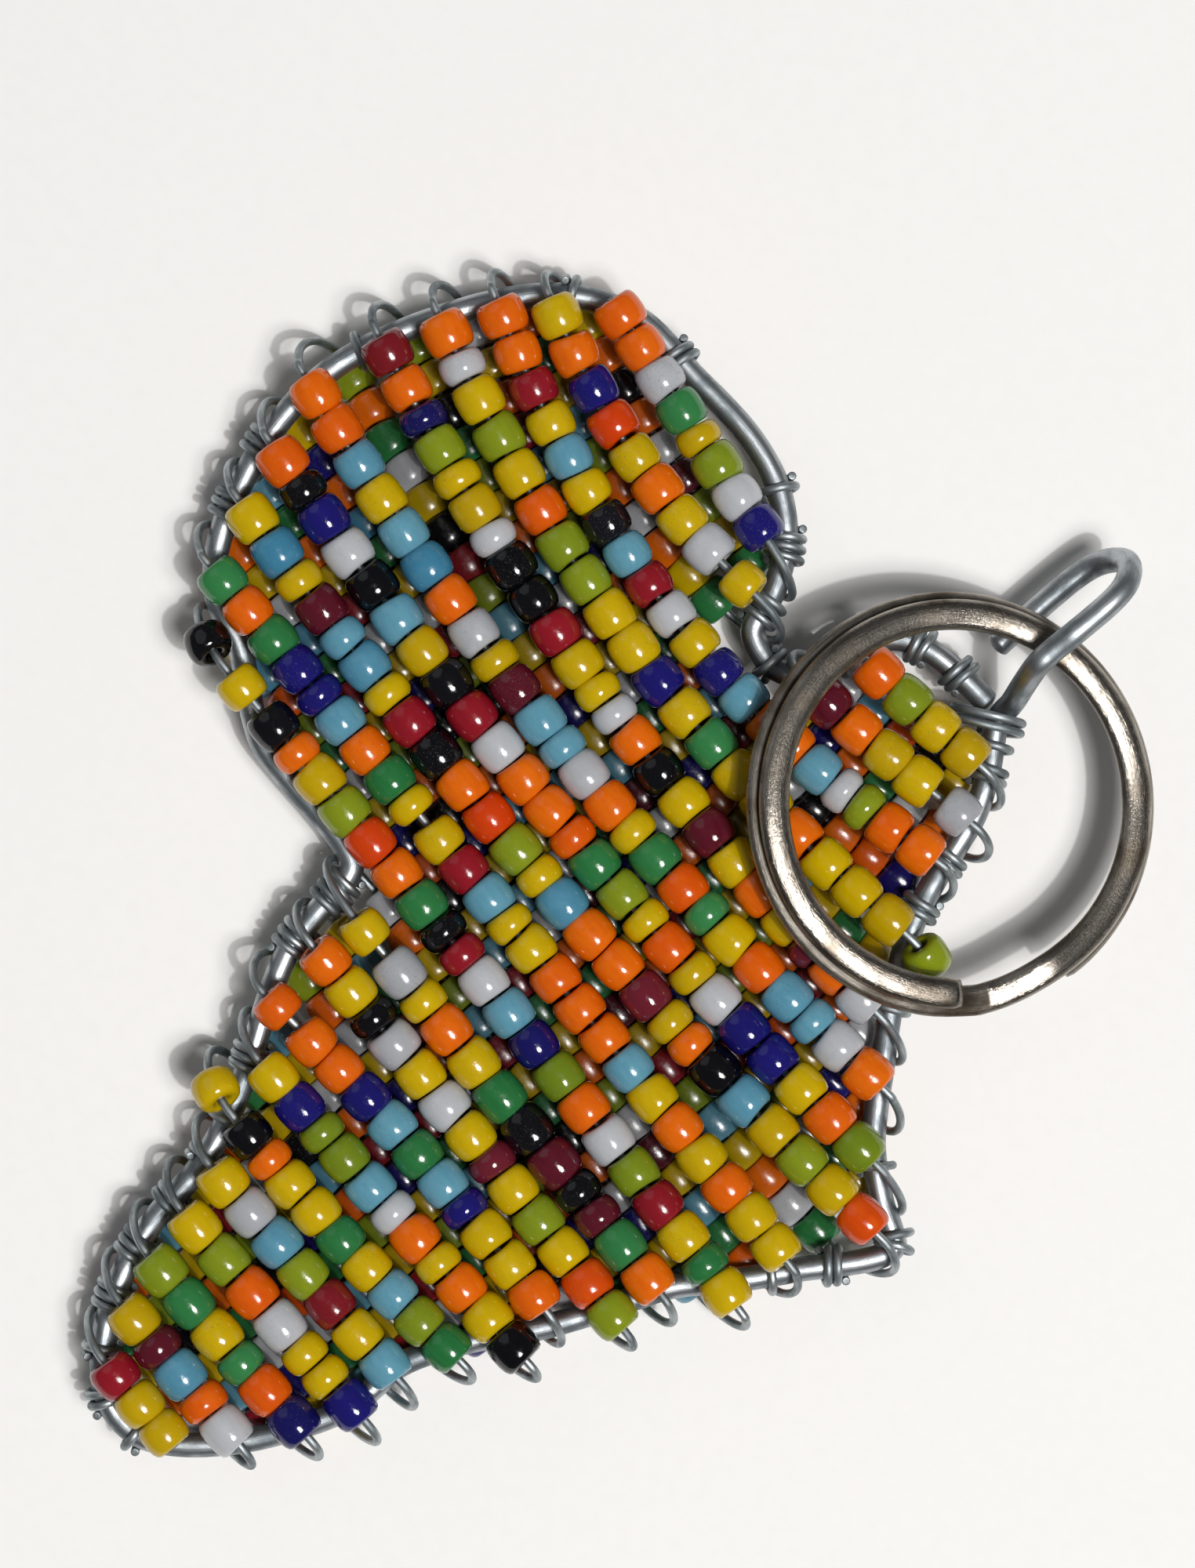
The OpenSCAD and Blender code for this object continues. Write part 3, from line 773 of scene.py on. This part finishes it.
def split_ring_piece(finish):
    """The strip of the split ring, swept with rounded corners along its two coils."""
    ring = settings("ring")
    node = "split_ring"
    line = smooth_line(centre_line(*solids_of(node)[0], STRIP_CORNERS), ring.smoothing)
    middle, normal = ring_axis(line)
    section = strip_section(ring.band, ring.coil, ring.flatness, ring.sides)
    gone = run_along(line)
    points, place, groove = [], [], []
    for at, run in zip(line, gone):
        out = at - middle
        out = unit(out - (out @ normal) * normal)
        from_end = min(1.0, min(run, gone[-1] - run) / STRIP_END)
        size = STRIP_END_SIZE + (1 - STRIP_END_SIZE) * math.sqrt(max(from_end, 0.0))
        for x, z in section:
            points.append(at + size * (x * out + z * normal))
            place.append((run / MM, x / MM, z / MM))
            # Dirt and painted shade: strongest on the face of each coil that meets the other coil
            inner = z if run < gone[-1] / 2 else -z
            groove.append(min(1.0, max(0.0, inner / (ring.coil / 2)) ** 2))
    return new_piece(
        node + "_plated", points, tube_faces(len(line), len(section)), finish, node,
        {"ring_groove": groove}, {"wire_place": place},
    )


# ---------------------------------------------------------------- operators


class KEYRING_OT_front_beads(bpy.types.Operator):
    """Makes the beads of the front face, one piece for each colour"""

    bl_idname = "keyring.front_beads"
    bl_label = "Front beads"
    bl_options = {"REGISTER", "UNDO"}

    def execute(self, context):
        for name in COLOURS:
            bead_piece(f"front_{name}_beads", glass_finish(name), settings("beads").swell)
        return {"FINISHED"}


class KEYRING_OT_back_beads(bpy.types.Operator):
    """Makes the beads of the back face, one piece for each colour"""

    bl_idname = "keyring.back_beads"
    bl_label = "Back beads"
    bl_options = {"REGISTER", "UNDO"}

    def execute(self, context):
        for name in COLOURS:
            bead_piece(f"back_{name}_beads", glass_finish(name))
        return {"FINISHED"}


class KEYRING_OT_loose_beads(bpy.types.Operator):
    """Makes the beads that turn or slide on their wire"""

    bl_idname = "keyring.loose_beads"
    bl_label = "Loose beads"
    bl_options = {"REGISTER", "UNDO"}

    def execute(self, context):
        for node in sorted(frame["nodes"]):
            if node.startswith("loose_"):
                bead_piece(node, glass_finish(node.split("_")[1]))
        return {"FINISHED"}


class KEYRING_OT_outline_wire(bpy.types.Operator):
    """Makes the thick outline wire with its hanging eye"""

    bl_idname = "keyring.outline_wire"
    bl_label = "Outline wire"
    bl_options = {"REGISTER", "UNDO"}

    def execute(self, context):
        wire = settings("wire")
        finish = wire_finish("galvanised_wire", list(wire.zinc), list(wire.zinc_dull), wire.rough)
        wire_piece(
            "outline_wire", finish, wire.outline_radius, OUTLINE_CORNERS, wire.sides, ROUND_END
        )
        return {"FINISHED"}


class KEYRING_OT_thin_wires(bpy.types.Operator):
    """Makes the beading wires and every winding of thin wire"""

    bl_idname = "keyring.thin_wires"
    bl_label = "Thin wires"
    bl_options = {"REGISTER", "UNDO"}

    def execute(self, context):
        wire = settings("wire")
        bright, dull = list(wire.thin_zinc), list(wire.thin_dull)
        finish = wire_finish("thin_wire", bright, dull, wire.thin_rough)
        for node in sorted(frame["nodes"]):
            if SLOT_OF[node] == "thin_wire":
                wire_piece(node, finish, wire.thin_radius, THIN_CORNERS, wire.thin_sides, CUT_END)
        return {"FINISHED"}


class KEYRING_OT_split_ring(bpy.types.Operator):
    """Makes the split ring"""

    bl_idname = "keyring.split_ring"
    bl_label = "Split ring"
    bl_options = {"REGISTER", "UNDO"}

    def execute(self, context):
        split_ring_piece(nickel_finish())
        return {"FINISHED"}


def disk_light(name, watts, size, place, aim, tint):
    """A round, flat light that shines from a place towards the aim."""
    light = bpy.data.lights.new(name, "AREA")
    light.shape = "DISK"
    light.energy, light.size, light.color = watts, size, tint
    lamp = bpy.data.objects.new(name, light)
    bpy.context.scene.collection.objects.link(lamp)
    lamp.location = place
    lamp.rotation_euler = (aim - place).to_track_quat("-Z", "Y").to_euler()


class KEYRING_OT_stage(bpy.types.Operator):
    """Makes the pale floor, the soft lights and the camera"""

    bl_idname = "keyring.stage"
    bl_label = "Stage"
    bl_options = {"REGISTER", "UNDO"}

    def execute(self, context):
        stage = settings("stage")
        scene = context.scene
        low, high = (corner.z for corner in CAD_BOX)
        aim = Vector((stage.across, stage.up, (low + high) / 2))
        right = Vector((math.cos(stage.roll), math.sin(stage.roll), 0))
        above = Vector((-math.sin(stage.roll), math.cos(stage.roll), 0))
        up = Vector((0, 0, 1))

        bpy.ops.mesh.primitive_circle_add(
            vertices=96, radius=stage.floor_size, fill_type="NGON", location=(0, 0, low)
        )
        floor = bpy.context.object
        floor.name = "Floor"
        floor.data.materials.append(floor_finish(list(stage.floor)))

        camera_data = bpy.data.cameras.new("Camera")
        camera_data.lens = camera_data.sensor_width * stage.distance / stage.tall
        camera_data.clip_start, camera_data.clip_end = 0.01, 10
        camera = bpy.data.objects.new("Camera", camera_data)
        scene.collection.objects.link(camera)
        camera.location = aim + up * stage.distance
        camera.rotation_euler = (0, 0, stage.roll)
        scene.camera = camera

        for name, (setting, size, place, tint) in LIGHTS.items():
            offset = right * place[0] + above * place[1] + up * place[2]
            disk_light(name, getattr(stage, setting), size, aim + offset, aim, tint)

        world = bpy.data.worlds.new("Room")
        world.use_nodes = True
        room = world.node_tree.nodes["Background"]
        room.inputs["Color"].default_value = (*ROOM_TINT, 1)
        room.inputs["Strength"].default_value = stage.room
        scene.world = world
        scene.view_settings.view_transform = "Standard"
        return {"FINISHED"}


OPERATORS = (
    KEYRING_OT_stage,
    KEYRING_OT_outline_wire,
    KEYRING_OT_thin_wires,
    KEYRING_OT_split_ring,
    KEYRING_OT_front_beads,
    KEYRING_OT_back_beads,
    KEYRING_OT_loose_beads,
)


class KEYRING_PT_panel(bpy.types.Panel):
    """Sidebar panel with every operator and setting"""

    bl_label = "Beaded key ring"
    bl_idname = "KEYRING_PT_panel"
    bl_space_type = "VIEW_3D"
    bl_region_type = "UI"
    bl_category = "Key ring"

    def draw(self, context):
        for operator in OPERATORS:
            self.layout.operator(operator.bl_idname)
        for name, group in GROUPS.items():
            box = self.layout.box()
            box.label(text=name.title())
            for key in group.__annotations__:
                box.prop(settings(name), key)


def register():
    for group in GROUPS.values():
        bpy.utils.register_class(group)
    for name, group in GROUPS.items():
        setattr(bpy.types.Scene, "keyring_" + name, PointerProperty(type=group))
    for operator in OPERATORS:
        bpy.utils.register_class(operator)
    bpy.utils.register_class(KEYRING_PT_panel)


def unregister():
    bpy.utils.unregister_class(KEYRING_PT_panel)
    for operator in reversed(OPERATORS):
        bpy.utils.unregister_class(operator)
    for name in GROUPS:
        delattr(bpy.types.Scene, "keyring_" + name)
    for group in reversed(GROUPS.values()):
        bpy.utils.unregister_class(group)


def main():
    register()
    for operator in OPERATORS:
        group, action = operator.bl_idname.split(".")
        getattr(getattr(bpy.ops, group), action)()


if __name__ == "__main__":
    main()
